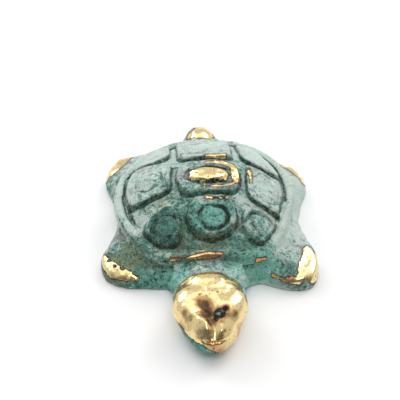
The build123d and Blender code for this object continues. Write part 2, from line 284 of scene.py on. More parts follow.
def legFrame(leg):
    foot = np.array([math.cos(math.radians(leg["angle"])) * planRatio, math.sin(math.radians(leg["angle"]))])
    foot *= skirtFoot
    reach = np.linalg.norm(foot)
    return foot / reach, reach + seatStandoff


def skirtForm(x, y, z):
    far = np.hypot(x, y)
    angle = np.arctan2(y, x)
    edge = closedCurve(angle, body["outline"])
    under = 1 / np.hypot(np.cos(angle) / (shell["halfWidth"] - 0.6), np.sin(angle) / (shell["halfLength"] - 0.6))
    under = under * closedCurve(angle, [(a, s) for a, s, _ in shell["edge"]])
    share = np.clip((far - under) / np.maximum(edge - under, 1.2), 0, 1.3)
    rim = closedCurve(angle, body["shoulder"])
    fall = 1 - np.clip(1 - share, 0, 1) ** body["sweep"]
    top = rim + (closedCurve(angle, body["edges"]) - rim) * fall
    return smoothCut((far - edge) * 0.85, (z - top) * 0.8, body["edgeRound"])


def tailForm(x, y, z):
    return smoothUnion(ellipsoid(x, y, z, *tail["form"]), ellipsoid(x, y, z, *tail["foot"]), 1.4)


# Neck and head
head = {
    "seat": -29.0,
    "middle": -0.35,  # the head lies a little to the turtle's right
    "skull": ((0, -36.8, 5.8), (8.0, 9.2, 4.9)),
    "snout": ((0.3, -43.6, 4.6), (5.2, 6.4, 4.1)),
    "nape": ((0, -32.8, 5.3), (7.1, 4.2, 4.7)),
    "brow": ((4.9, -38.6, 7.3), (3.4, 4.4, 3.0)),
    # trough from the forehead to the nose: place along the head, middle, depth, half width
    "trough": [(-35.5, -1.4, 0.0, 2.9), (-37.5, -1.4, 0.1, 2.9), (-39.5, -1.4, 0.7, 2.7), (-41.5, -1.1, 1.25, 2.4),
               (-43.5, -0.5, 1.4, 1.9), (-45.5, 0.3, 1.1, 1.3), (-47.0, 0.7, 0.7, 0.95), (-48.6, 0.7, 0.35, 0.9),
               (-49.8, 0.7, 0.0, 0.9), (-52.0, 0.7, 0.0, 0.9)],
    "bars": {"apart": 1.7, "width": 0.7, "height": 0.22, "from": -45.0, "to": -49.0},
    "mouth": {"height": 6.2, "width": 0.2, "depth": 0.22, "half": 2.2, "middle": 0.6},
    "pit": (2.4, -43.2, 1.0, 0.15),  # patch that keeps its patina: place, radius, depth
}
neck = {
    "middle": ((-0.2, -26.4, 3.0), (9.2, 6.0, 4.6)),
    "collar": ((-0.3, -28.2, 3.4), (8.6, 1.9, 4.2)),
    "sweep": 0.05,  # the collar's sides lie further forward
}


def headForm(x, y, z):
    x = x - head["middle"]
    side = np.abs(x)
    form = smoothUnion(ellipsoid(x, y, z, *head["skull"]), ellipsoid(x, y, z, *head["snout"]), 5.0)
    form = smoothUnion(form, ellipsoid(x, y, z, *head["nape"]), 3.0)
    form = smoothUnion(form, ellipsoid(side, y, z, *head["brow"]), 2.2)
    pitX, pitY, pitRadius, pitDepth = head["pit"]
    apart = np.hypot(x - pitX, y - pitY) + 0.25 * unevenness(x, y, z, 2.0, sculpt["seed"] + 4)
    form = form + pitDepth * step(pitRadius + 0.3, pitRadius - 0.3, apart) * step(5.0, 6.5, z)
    places, middles, depths, widths = np.array(head["trough"][::-1]).T
    middle = smoothCurve(y, places, middles)
    above = step(5.6, 6.6, z)
    form = form + above * smoothCurve(y, places, depths) * bump(x, middle, smoothCurve(y, places, widths))
    bars = head["bars"]
    along = step(bars["from"], bars["from"] - 1.8, y) * step(bars["to"], bars["to"] + 1.6, y)
    form = form - above * along * bars["height"] * bump(np.abs(x - middle), bars["apart"], bars["width"])
    mouth = head["mouth"]
    crease = bump(z, mouth["height"], mouth["width"]) * step(-46.0, -47.5, y)
    return form + mouth["depth"] * crease * step(mouth["half"] + 0.6, mouth["half"] - 0.4, np.abs(x - mouth["middle"]))


def neckForm(x, y, z):
    swept = y + neck["sweep"] * x ** 2
    return smoothUnion(ellipsoid(x, y, z, *neck["middle"]), ellipsoid(x, swept, z, *neck["collar"]), 1.0)


def turtle(x, y, z):
    form = smoothUnion(shellForm(x, y, z), skirtForm(x, y, z), 1.0)
    form = smoothUnion(form, tailForm(x, y, z), 1.6)
    form = smoothUnion(form, neckForm(x, y, z), 2.4)
    form = smoothUnion(form, headForm(x, y, z), 1.6)
    form = form + sculpt["lumps"] * unevenness(x, y, z, 7.0, sculpt["seed"])
    form = form + sculpt["dents"] * unevenness(x, y, z, 2.4, sculpt["seed"] + 3)
    form = smoothCut(form, -z, body["footEdge"])
    plate = np.maximum(np.hypot(x / planRatio, y) - body["plateRadius"], z - body["plateDepth"])
    return smoothCut(form, -plate, 0.3)


# Mesh of the sculpt: one point for each grid cell that the surface crosses, then pulled onto the surface

def slopeAt(points, reach=0.04):
    x, y, z = points.T
    parts = [turtle(x + reach, y, z) - turtle(x - reach, y, z)]
    parts.append(turtle(x, y + reach, z) - turtle(x, y - reach, z))
    parts.append(turtle(x, y, z + reach) - turtle(x, y, z - reach))
    return np.stack(parts, axis=1) / (2 * reach)


def surfaceNet(low, high, voxel):
    axes = [np.arange(a, b + voxel, voxel) for a, b in zip(low, high)]
    shape = [len(a) for a in axes]
    # a coarse look first, then only the cells near the surface
    coarse = np.meshgrid(*[a[::4] for a in axes], indexing="ij")
    rough = turtle(*[g.ravel() for g in coarse]).reshape(coarse[0].shape)
    for axis in range(3):
        rough = np.repeat(rough, 4, axis=axis)
    values = rough[:shape[0], :shape[1], :shape[2]].astype(np.float32)
    near = np.nonzero(np.abs(values) < 7 * voxel)
    for part in np.array_split(np.arange(len(near[0])), 8):
        index = tuple(n[part] for n in near)
        values[index] = turtle(*[a[i] for a, i in zip(axes, index)])
    inside = values < 0
    cells = [n - 1 for n in shape]
    total = np.zeros(cells + [3], np.float32)
    count = np.zeros(cells, np.int32)
    for axis in range(3):
        other = [a for a in range(3) if a != axis]
        for p in (0, 1):
            for q in (0, 1):
                cut = [slice(0, n) for n in cells]
                cut[other[0]] = slice(p, p + cells[other[0]])
                cut[other[1]] = slice(q, q + cells[other[1]])
                first = values[tuple(cut)]
                cut[axis] = slice(1, 1 + cells[axis])
                second = values[tuple(cut)]
                crossed = (first < 0) != (second < 0)
                share = np.where(crossed, first / np.where(crossed, first - second, 1), 0)
                total[..., axis] += share
                total[..., other[0]] += p * crossed
                total[..., other[1]] += q * crossed
                count += crossed
    active = count > 0
    index = np.full(cells, -1, np.int64)
    index[active] = np.arange(active.sum())
    start = np.stack(np.nonzero(active), axis=1)
    points = np.array([a[0] for a in axes]) + voxel * (start + total[active] / count[active][:, None])
    quads = []
    for axis in range(3):
        other = [a for a in range(3) if a != axis]
        low_, high_ = [slice(1, n - 1) for n in shape], [slice(1, n - 1) for n in shape]
        low_[axis], high_[axis] = slice(0, shape[axis] - 1), slice(1, shape[axis])
        crossed = inside[tuple(low_)] != inside[tuple(high_)]
        where = np.stack(np.nonzero(crossed), axis=1)
        where[:, other[0]] += 1
        where[:, other[1]] += 1
        ring = []
        for p, q in ((1, 1), (0, 1), (0, 0), (1, 0)):
            cell = where.copy()
            cell[:, other[0]] -= p
            cell[:, other[1]] -= q
            ring.append(index[tuple(cell.T)])
        ring = np.stack(ring, axis=1)
        outward = inside[tuple(where.T)] == (axis != 1)
        quads.append(np.where(outward[:, None], ring, ring[:, ::-1]))
    return points, np.concatenate(quads)


low = [v / mm - sculpt["margin"] for v in cadBox[0]]
high = [v / mm + sculpt["margin"] for v in cadBox[1]]
points, quads = surfaceNet(low, high, sculpt["voxel"])
for _ in range(sculpt["polish"]):
    slope = slopeAt(points)
    points = points - (turtle(*points.T) / np.maximum((slope ** 2).sum(axis=1), 0.2))[:, None] * slope
print("sculpt:", len(points), "points", len(quads), "quads")

# Cut the sculpt where the castings meet
master = bmesh.new()
masterMesh = bpy.data.meshes.new("sculpt")
masterMesh.from_pydata((points).tolist(), [], quads.tolist())
master.from_mesh(masterMesh)


def cutAcross(near, place, way):
    # new edges where a plane crosses the faces near a joint
    faces = [f for f in master.faces if near(f.calc_center_median())]
    geometry = set(faces)
    for f in faces:
        geometry.update(f.edges)
        geometry.update(f.verts)
    bmesh.ops.bisect_plane(master, geom=list(geometry), plane_co=place, plane_no=way, dist=1e-5)


def beyondSeat(leg, reachBack=0.0):
    out, reach = legFrame(leg)

    def test(p):
        along, beside = p.x * out[0] + p.y * out[1], p.y * out[0] - p.x * out[1]
        return along > reach - reachBack and leg["sides"][0] < beside < leg["sides"][1] and p.z < shell["seam"]
    return test


tests = {}
for name, leg in legs.items():
    out, reach = legFrame(leg)
    cutAcross(beyondSeat(leg, 2.0), (out[0] * reach, out[1] * reach, 0), (out[0], out[1], 0))
    if name.startswith("front"):
        # a clean end between the leg and the neck
        limit = leg["sides"][0] if out[0] > 0 else leg["sides"][1]
        cutAcross(lambda p: p.y < -15 and p.x * out[0] > 0, (-out[1] * limit, out[0] * limit, 0), (-out[1], out[0], 0))
    tests[name] = beyondSeat(leg)
tests["tail"] = lambda p: p.y > tail["seat"]
tests["head"] = lambda p: p.y < head["seat"]
cutAcross(lambda p: p.y > tail["seat"] - 2, (0, tail["seat"], 0), (0, 1, 0))
cutAcross(lambda p: p.y < head["seat"] + 2, (0, head["seat"], 0), (0, 1, 0))
shellFront = -23.8
cutAcross(lambda p: 5.0 < p.z < 9.0 and p.y > shellFront - 2, (0, 0, shell["seam"]), (0, 0, 1))
cutAcross(lambda p: p.z > 5.5 and abs(p.y - shellFront) < 2, (0, shellFront, 0), (0, 1, 0))
tests["carapace"] = lambda p: p.z > shell["seam"] and p.y > shellFront
tests["body"] = lambda p: True
names = list(tests)
tags = master.faces.layers.int.new("piece")
for f in master.faces:
    centre = f.calc_center_median()
    f[tags] = next(i for i, name in enumerate(names) if tests[name](centre))
print("cut into", names)


# Where hands have rubbed the patina away: signed distance in millimetres, positive on bare metal
rubbed = {
    "collar": (-29.8, 0.055),  # border between the head and the collar, and how it bends forward at the sides
    # height of the border along the jaw: across the head, then up
    "jaw": [(-9.0, 4.6), (-8.4, 5.6), (-6.9, 6.2), (-5.0, 5.4), (-3.6, 5.6), (-2.3, 5.6), (-0.9, 4.7), (0.6, 3.7), (2.6, 0.5)],
    "jawBack": (-38.0, -41.5),  # behind this the gold runs down to the table
    "ring": ((0.35, -1.2), (6.4, 4.4), 0.55),  # round the middle scute's core
    "core": ((0.4, -1.2), (4.5, 2.3)),
    # chains of rubbed spots: places with their radii
    "chains": {
        "frontRightFoot": [(-25.2, -16.6, 2.8, 0.8), (-24.2, -19.3, 3.1, 1.3), (-22.2, -21.9, 3.1, 1.7), (-19.8, -23.2, 3.0, 1.3),
                           (-17.3, -24.1, 2.8, 0.5)],
        "frontLeftFoot": [(23.4, -17.0, 4.6, 1.0), (24.2, -20.3, 3.8, 2.6), (23.4, -23.4, 3.4, 2.7), (20.8, -25.6, 2.6, 0.9),
                          (17.3, -25.5, 2.6, 0.45), (14.8, -24.2, 3.2, 0.35)],
        "rearRightFoot": [(-24.8, 13.0, 3.2, 1.2), (-23.4, 15.8, 4.2, 2.0), (-21.2, 18.8, 4.4, 1.8), (-19.2, 21.0, 3.8, 0.9)],
        "rearLeftFoot": [(18.2, 17.6, 4.0, 1.2), (20.6, 15.8, 4.3, 1.5), (22.8, 13.4, 4.2, 1.5), (24.6, 10.0, 3.6, 1.0)],
        "tail": [(-3.0, 26.8, 5.6, 1.4), (-1.2, 27.2, 6.4, 2.4), (0.6, 27.2, 6.0, 1.9), (-1.3, 31.4, 3.6, 2.2)],
        "rearScute": [(0.1, 6.9, 14.6, 0.55), (4.3, 7.1, 14.2, 0.6)],
        "sideScute": [(9.9, 2.4, 13.7, 0.38), (10.5, -2.0, 13.7, 0.32)],
    },
    # thin rubbed edges, more copper than gold
    "edges": {
        "frontRim": [(-8.9, -23.4, 7.8, 0.3), (-5.4, -23.6, 8.4, 0.2), (-3.0, -23.3, 8.7, 0.55), (0.6, -23.1, 8.9, 0.75),
                     (2.6, -22.8, 9.1, 0.4)],
        "sideRim": [(11.2, -23.1, 7.0, 0.45), (13.2, -22.2, 6.6, 0.4)],
        "frontScute": [(-0.3, -9.3, 14.9, 0.22), (4.6, -9.6, 15.0, 0.22)],
        "shoulder": [(-20.3, -12.9, 4.8, 0.35), (-20.3, -12.7, 4.8, 0.35)],
    },
    # hollows that keep their patina
    "spared": [((1.5, -43.5, 9.2), 0.8), ((2.3, -43.0, 9.4), 0.75), ((-22.4, -20.3, 3.7), 0.6), ((-20.6, -21.4, 3.6), 0.55), ((-23.9, -18.2, 3.4), 0.5)],
    # brown tarnish on the bare metal, and a painted darker reflection in the forehead trough and on the lower head and
    # cheeks: place, radius, amount
    "tarnishAndDarkReflections": [((-2.0, -40.6, 9.5), 3.5, 0.92), ((-1.3, -42.8, 8.7), 3.4, 1.05), ((-0.5, -45.2, 8.3), 2.4, 0.95),
               ((-0.4, -47.6, 7.8), 1.2, 0.6), ((1.7, -43.4, 9.2), 2.5, 1.7), ((3.0, -42.3, 9.6), 1.7, 1.4), ((0.9, -44.6, 8.9), 1.6, 1.2),
               ((3.4, -43.6, 9.2), 1.3, 0.9),
               ((5.1, -43.0, 9.2), 1.3, 0.8), ((-6.2, -42.6, 9.0), 1.3, 0.6), ((1.9, -45.5, 8.9), 1.1, 0.85),
               ((2.7, -47.4, 7.9), 0.8, 0.85), ((1.3, -37.7, 10.8), 0.6, 0.9), ((-2.7, -38.2, 10.5), 0.5, 0.8),
               ((-5.3, -36.3, 10.6), 0.6, 0.6), ((0.8, -49.6, 4.8), 4.2, 0.48), ((-6.2, -43.5, 6.5), 3.4, 0.3),
               ((6.6, -44.0, 5.0), 3.6, 0.34), ((18.8, -24.6, 3.6), 2.4, 0.6)],
}


# Tones of the verdigris: place, reach, then how pale, turquoise, olive, mauve and dark it is there. The pale is dust
# and in part a painted sheen where the light falls brightest, on the rear and the flanks
tones = {
    "rearScute": ((0, 12, 13), 6, 0.95, 0.3, 0.05, 0.18, 0.00),
    "rearRightScute": ((-12, 12, 10), 5, 1.20, 0.30, 0.08, 0.05, 0.00),
    "rearLeftScute": ((12, 11, 10), 5, 1.12, 0.4, 0.00, 0.00, 0.00),
    "rearEdge": ((0, 23, 6), 6, 0.80, 0.3, 0.10, 0.10, 0.05),
    "sideRightScute": ((-15, 1, 11), 5, 0.82, 0.3, 0.08, 0.10, 0.00),
    "sideRightInner": ((-10.5, -2, 12.5), 2.5, 0.45, 0.5, 0.05, 0.15, 0.10),
    "sideLeftScute": ((14, -3, 10.5), 5, 0.90, 0.4, 0.00, 0.12, 0.00),
    "grooveRight": ((-8.2, 1, 12), 1.8, 0.75, 0.20, 0.75, 0.00, -0.10),
    "grooveLeft": ((9, -7, 12), 2.2, 0.80, 0.5, 0.15, 0.00, 0.10),
    "grooveRear": ((8.3, 6, 12), 2.0, 0.45, 0.6, 0.10, 0.00, 0.20),
    "ringRight": ((-6.5, -0.5, 14), 2.4, 0.80, 0.20, 0.00, 0.50, 0.00),
    "middleFront": ((0, -7.6, 13.5), 2.6, 0.80, 0.60, 0.00, 0.10, 0.00),
    "middleLeft": ((7.5, -3, 13.5), 2.4, 0.50, 0.6, 0.10, 0.10, 0.00),
    "disc": ((0.6, -14.4, 13), 2.6, 0.00, 0.95, 0.00, 0.00, 0.12),
    "discRight": ((-4.4, -12.6, 13), 2.2, 0.25, 0.60, 0.00, 0.30, 0.55),
    "discLeft": ((4.8, -11.6, 13), 2.2, 0.40, 0.6, 0.00, 0.20, 0.35),
    "frontRightScute": ((-11, -15.5, 11), 4, 0.05, 0.2, 0.00, 0.00, 0.48),
    "frontRightOuter": ((-16.5, -12, 9), 2.8, 0.95, 0.4, 0.15, 0.00, 0.00),
    "frontLeftScute": ((11, -15.7, 11), 3.6, 0.74, 0.60, 0.00, 0.08, 0.05),
    "grooveFrontLeft": ((14.6, -10.6, 9), 2.2, 0.80, 0.30, 0.40, 0.00, -0.05),
    "frontLeftOuter": ((17, -15, 8.5), 2.6, 1.20, 0.40, 0.15, 0.00, 0.00),
    "frontBand": ((0, -20, 8.8), 3, 0.36, 0.40, 0.50, 0.00, 0.30),
    "frontBandRight": ((-6, -20.4, 8.4), 2.6, 0.34, 0.30, 0.45, 0.00, 0.45),
    "frontBandLeft": ((9, -20.6, 8.2), 3, 0.18, 0.60, 0.40, 0.00, 0.38),
    "rimRight": ((-12, -21.4, 8), 2.6, 0.62, 0.30, 0.45, 0.00, 0.00),
    # painted shade under the rim's overhang
    "shadeUnderRim": ((-14, -22, 5.6), 2.4, 0.28, 0.3, 0.20, 0.30, 0.45),
    "chestRight": ((-12, -26, 3.6), 4, 0.26, 0.85, 0.00, 0.00, 0.08),
    "chestLeft": ((11, -25.5, 4), 4, 0.50, 1.35, 0.00, 0.00, 0.00),
    "collar": ((0, -28.2, 9.5), 3, 0.62, 0.4, 0.10, 0.20, 0.05),
    "collarRight": ((-7, -30, 7), 2.6, 0.48, 0.8, 0.00, 0.00, 0.00),
    "collarLeft": ((7, -30, 7), 2.6, 0.54, 0.8, 0.00, 0.00, 0.00),
    "frontRightFoot": ((-20, -18.5, 5), 3.6, 0.30, 0.20, 0.60, 0.05, 0.32),
    "frontRightShoulder": ((-21, -12.5, 5.5), 3, 0.70, 0.3, 0.10, 0.40, 0.00),
    "rightFlank": ((-22, -1, 4), 5, 1.10, 0.40, 0.05, 0.12, 0.00),
    "rearRightFoot": ((-24, 9, 3.5), 3.5, 0.50, 0.6, 0.00, 0.15, 0.05),
    "frontLeftFoot": ((21, -17.5, 5), 3.6, 0.75, 0.6, 0.05, 0.05, 0.00),
    "frontLeftToe": ((18.5, -23.5, 4), 2.0, 0.25, 0.4, 0.00, 0.40, 0.50),
    "leftShoulder": ((22, -8, 5), 4, 1.15, 0.4, 0.00, 0.00, 0.00),
    "leftFlank": ((22.5, 3, 4), 5, 1.35, 0.40, 0.00, 0.08, 0.00),
    "rearLeftFoot": ((23, 12, 4), 4, 1.00, 0.4, 0.00, 0.30, 0.00),
    "rearRightToe": ((-20, 16, 4.5), 4, 0.80, 0.3, 0.05, 0.30, 0.00),
    "chin": ((-5, -47, 3.5), 4, 0.15, 0.70, 0.00, 0.00, 0.38),
    "pit": ((1.9, -43.3, 9.3), 1.2, 0.10, 0.60, 0.00, 0.00, 0.42),
    "grooveFrontRight": ((-7.0, -15.0, 10.2), 1.5, 0.60, 0.20, 0.60, 0.00, -0.05),
    "grooveFrontMiddle": ((7.2, -15.0, 10.0), 1.5, 0.60, 0.20, 0.60, 0.00, -0.05),
    "aboveFrontRight": ((-11.0, -8.2, 11.2), 1.9, 0.85, 0.20, 0.50, 0.00, -0.05),
    "aboveFrontLeft": ((9.8, -9.4, 11.2), 1.7, 0.80, 0.20, 0.55, 0.00, -0.05),
    "rimLip": ((-3, -21.8, 9.2), 2.2, 0.60, 0.30, 0.45, 0.05, 0.10),
    # painted shade in the dip between the rim and the collar
    "shadeUnderRimMiddle": ((0, -24.2, 7.4), 1.6, 0.40, 0.20, 0.00, 0.60, 0.15),
    "chestRightLow": ((-15, -25, 3.0), 2.4, 0.10, 0.45, 0.15, 0.00, 0.28),
    "frontLeftRing": ((12.1, -14.9, 11.3), 1.7, 0.30, 0.60, 0.00, 0.15, 0.34),
    "discDimple": ((1.3, -14.2, 12.6), 0.8, 0.00, 0.60, 0.00, 0.00, 1.30),
    "belly": ((0, 0, -2), 14, 0.40, 0.4, 0.10, 0.00, 0.20),
}
toneTitles = ("pale", "turquoise", "olive", "mauve", "dark")


def toneFields(points):
    weights = 0
    total = 0
    for place, reach, *amounts in tones.values():
        apart = ((points - place) ** 2).sum(axis=1) / reach ** 2
        weight = np.exp(-apart) + 1e-3 / (1 + apart) ** 2
        weights = weights + weight
        total = total + weight[:, None] * np.array(amounts)
    return (total / weights[:, None]).T


def chainField(points, chain):
    # how deep each point lies inside a chain of balls, in millimetres
    field = np.full(len(points), -99.0)
    for first, last in zip(chain, chain[1:]):
        start, way = np.array(first[:3]), np.subtract(last[:3], first[:3])
        t = np.clip(((points - start) @ way) / max(way @ way, 1e-6), 0, 1)
        apart = np.linalg.norm(points - start - t[:, None] * way, axis=1)
        field = np.maximum(field, first[3] + (last[3] - first[3]) * t - apart)
    return field


def bareField(points):
    x, y, z = points.T
    across, up = np.array(rubbed["jaw"]).T
    jaw = 0.4 + (np.interp(x, across, up) - 0.4) * step(*rubbed["jawBack"], y)
    border, bend = rubbed["collar"]
    field = np.minimum(border - bend * x ** 2 - y, z - jaw)
    for chain in list(rubbed["chains"].values()) + list(rubbed["edges"].values()):
        field = np.maximum(field, chainField(points, chain))
    middle, half, width = rubbed["ring"]
    turn = math.radians(shell["turn"])
    u, v = x * math.cos(turn) + y * math.sin(turn), y * math.cos(turn) - x * math.sin(turn)
    ring = width - np.abs(ovalDistance(u, v, middle, half))
    ring = ring - 2.6 * step(0.5, -3.5, u) * step(-6.5, -4.0, v) - 0.3 * step(-3.0, -6.0, v)
    core = -ovalDistance(u, v, *rubbed["core"])
    field = np.maximum(field, np.minimum(np.maximum(ring, core), z - 12))
    for middle, radius in rubbed["spared"]:
        field = np.minimum(field, np.linalg.norm(points - middle, axis=1) - radius)
    return np.clip(0.5 + field / 4, 0, 1)


def tarnishAndDarkReflectionField(points):
    total = np.zeros(len(points))
    for middle, radius, amount in rubbed["tarnishAndDarkReflections"]:
        total = np.maximum(total, amount * step(1.0, 0.2, np.linalg.norm(points - middle, axis=1) / radius))
    for chain in rubbed["edges"].values():
        total = np.maximum(total, 0.5 * step(-1.0, 0.0, chainField(points, chain)))
    return total


def shapeAround(points, normals, slope, reach):
    # how hollow and how proud the surface is around each point
    scale = np.linalg.norm(slope, axis=1) * reach
    hollow = 1 - turtle(*(points + reach * normals).T) / scale
    proud = 1 + turtle(*(points - reach * normals).T) / scale
    return np.clip(hollow, 0, 1), np.clip(proud, 0, 1)


def closeOpenings(piece):
    # a fan of triangles over each opening that a cut has left
    ahead = {}
    for edge in piece.edges:
        if edge.is_boundary:
            corner = edge.link_loops[0]
            ahead.setdefault(corner.link_loop_next.vert, []).append(corner.vert)
    while ahead:
        first = next(iter(ahead))
        ring = [first]
        while True:
            ways = ahead[ring[-1]]
            point = ways.pop()
            if not ways:
                del ahead[ring[-1]]
            if point == first:
                break
            ring.append(point)
        middle = piece.verts.new(sum((v.co for v in ring), Vector()) / len(ring))
        for a, b in zip(ring, ring[1:] + ring[:1]):
            piece.faces.new((a, b, middle))


def makePiece(name):
    piece = master.copy()
    layer = piece.faces.layers.int["piece"]
    wanted = names.index(name)
    bmesh.ops.delete(piece, geom=[f for f in piece.faces if f[layer] != wanted], context="FACES")
    skin = len(piece.faces)
    closeOpenings(piece)
    mesh = bpy.data.meshes.new(name + "_cast")
    piece.to_mesh(mesh)
    piece.free()
    where = np.empty(len(mesh.vertices) * 3)
    mesh.vertices.foreach_get("co", where)
    where = where.reshape(-1, 3)
    slope = slopeAt(where)
    normals = slope / np.linalg.norm(slope, axis=1)[:, None]
    mesh.vertices.foreach_set("co", (where * mm).ravel())
    hollow, proud = shapeAround(where, normals, slope, 1.0)
    # steep walls above the seam, most of all those facing forward: painted shade where the light from behind does not
    # reach
    wall = step(0.78, 0.5, normals[:, 2]) * step(shell["seam"] + 0.5, shell["seam"] + 1.5, where[:, 2])
    wall = wall * (0.3 + 0.7 * step(0.0, 0.5, -normals[:, 1]))
    fields = {"bare": bareField(where), "hollow": hollow, "proud": proud, "tarnishAndDarkReflection": tarnishAndDarkReflectionField(where), "wall": wall}
    fields.update(zip(toneTitles, toneFields(where)))
    for title, values in fields.items():
        mesh.attributes.new(title, "FLOAT", "POINT").data.foreach_set("value", values.astype(np.float32))
    mesh.polygons.foreach_set("use_smooth", np.ones(len(mesh.polygons), bool))
    corner = np.empty(len(mesh.loops), np.int32)
    mesh.loops.foreach_get("vertex_index", corner)
    mesh.normals_split_custom_set(normals[corner].tolist())
    obj = bpy.data.objects.new(name + "_cast", mesh)
    bpy.context.scene.collection.objects.link(obj)
    print(name, len(mesh.polygons), "faces", skin, "of them skin")
    return obj


# Materials
def addNode(tree, kind, inputs=None, **settings):
    made = tree.nodes.new(kind)
    for key, value in settings.items():
        setattr(made, key, value)
    for key, value in (inputs or {}).items():
        if isinstance(value, bpy.types.NodeSocket):
            tree.links.new(value, made.inputs[key])
        else:
            made.inputs[key].default_value = value
    return made


def emptyMaterial(name):
    material = bpy.data.materials.new(name)
    material.use_nodes = True
    material.node_tree.nodes.clear()
    return material, material.node_tree


def noiseAt(tree, place, size, detail=3, rough=0.55, twist=0.0):
    # size is that of one blotch in millimetres
    made = addNode(tree, "ShaderNodeTexNoise", {"Vector": place, "Scale": 1000 / size, "Detail": detail, "Roughness": rough,
                                                "Distortion": twist})
    return made.outputs["Fac"]


def between(tree, value, low, high, toLow=0.0, toHigh=1.0):
    made = addNode(tree, "ShaderNodeMapRange", {"Value": value, "From Min": low, "From Max": high, "To Min": toLow, "To Max": toHigh},
                   interpolation_type="SMOOTHSTEP")
    return made.outputs["Result"]


def sums(tree, kind, a, b):
    return addNode(tree, "ShaderNodeMath", {0: a, 1: b}, operation=kind).outputs[0]


def mixColour(tree, share, a, b):
    made = addNode(tree, "ShaderNodeMix", data_type="RGBA")
    for socket, value in ((made.inputs[0], share), (made.inputs[6], a), (made.inputs[7], b)):
        if isinstance(value, bpy.types.NodeSocket):
            tree.links.new(value, socket)
        else:
            socket.default_value = value if isinstance(value, float) else (*value, 1)
    return made.outputs[2]


def mixValue(tree, share, a, b):
    return addNode(tree, "ShaderNodeMix", {0: share, 2: a, 3: b}).outputs[0]


patina = {
    "tealDeep": (0.022, 0.085, 0.068),
    "teal": (0.095, 0.265, 0.205),
    "turquoise": (0.190, 0.500, 0.410),
    "mint": (0.560, 0.690, 0.620),
    "dustAndSheen": (0.520, 0.575, 0.545),
    "olive": (0.200, 0.225, 0.110),
    "mauve": (0.250, 0.215, 0.235),
    "dark": (0.016, 0.020, 0.018),
    "speck": (0.700, 0.820, 0.760),
    "border": (0.030, 0.018, 0.014),
    "rough": 0.75,
}
brass = {
    "bright": (0.880, 0.690, 0.350),
    "copper": (0.520, 0.300, 0.130),
    "brown": (0.130, 0.080, 0.045),
    "rough": 0.2,
}


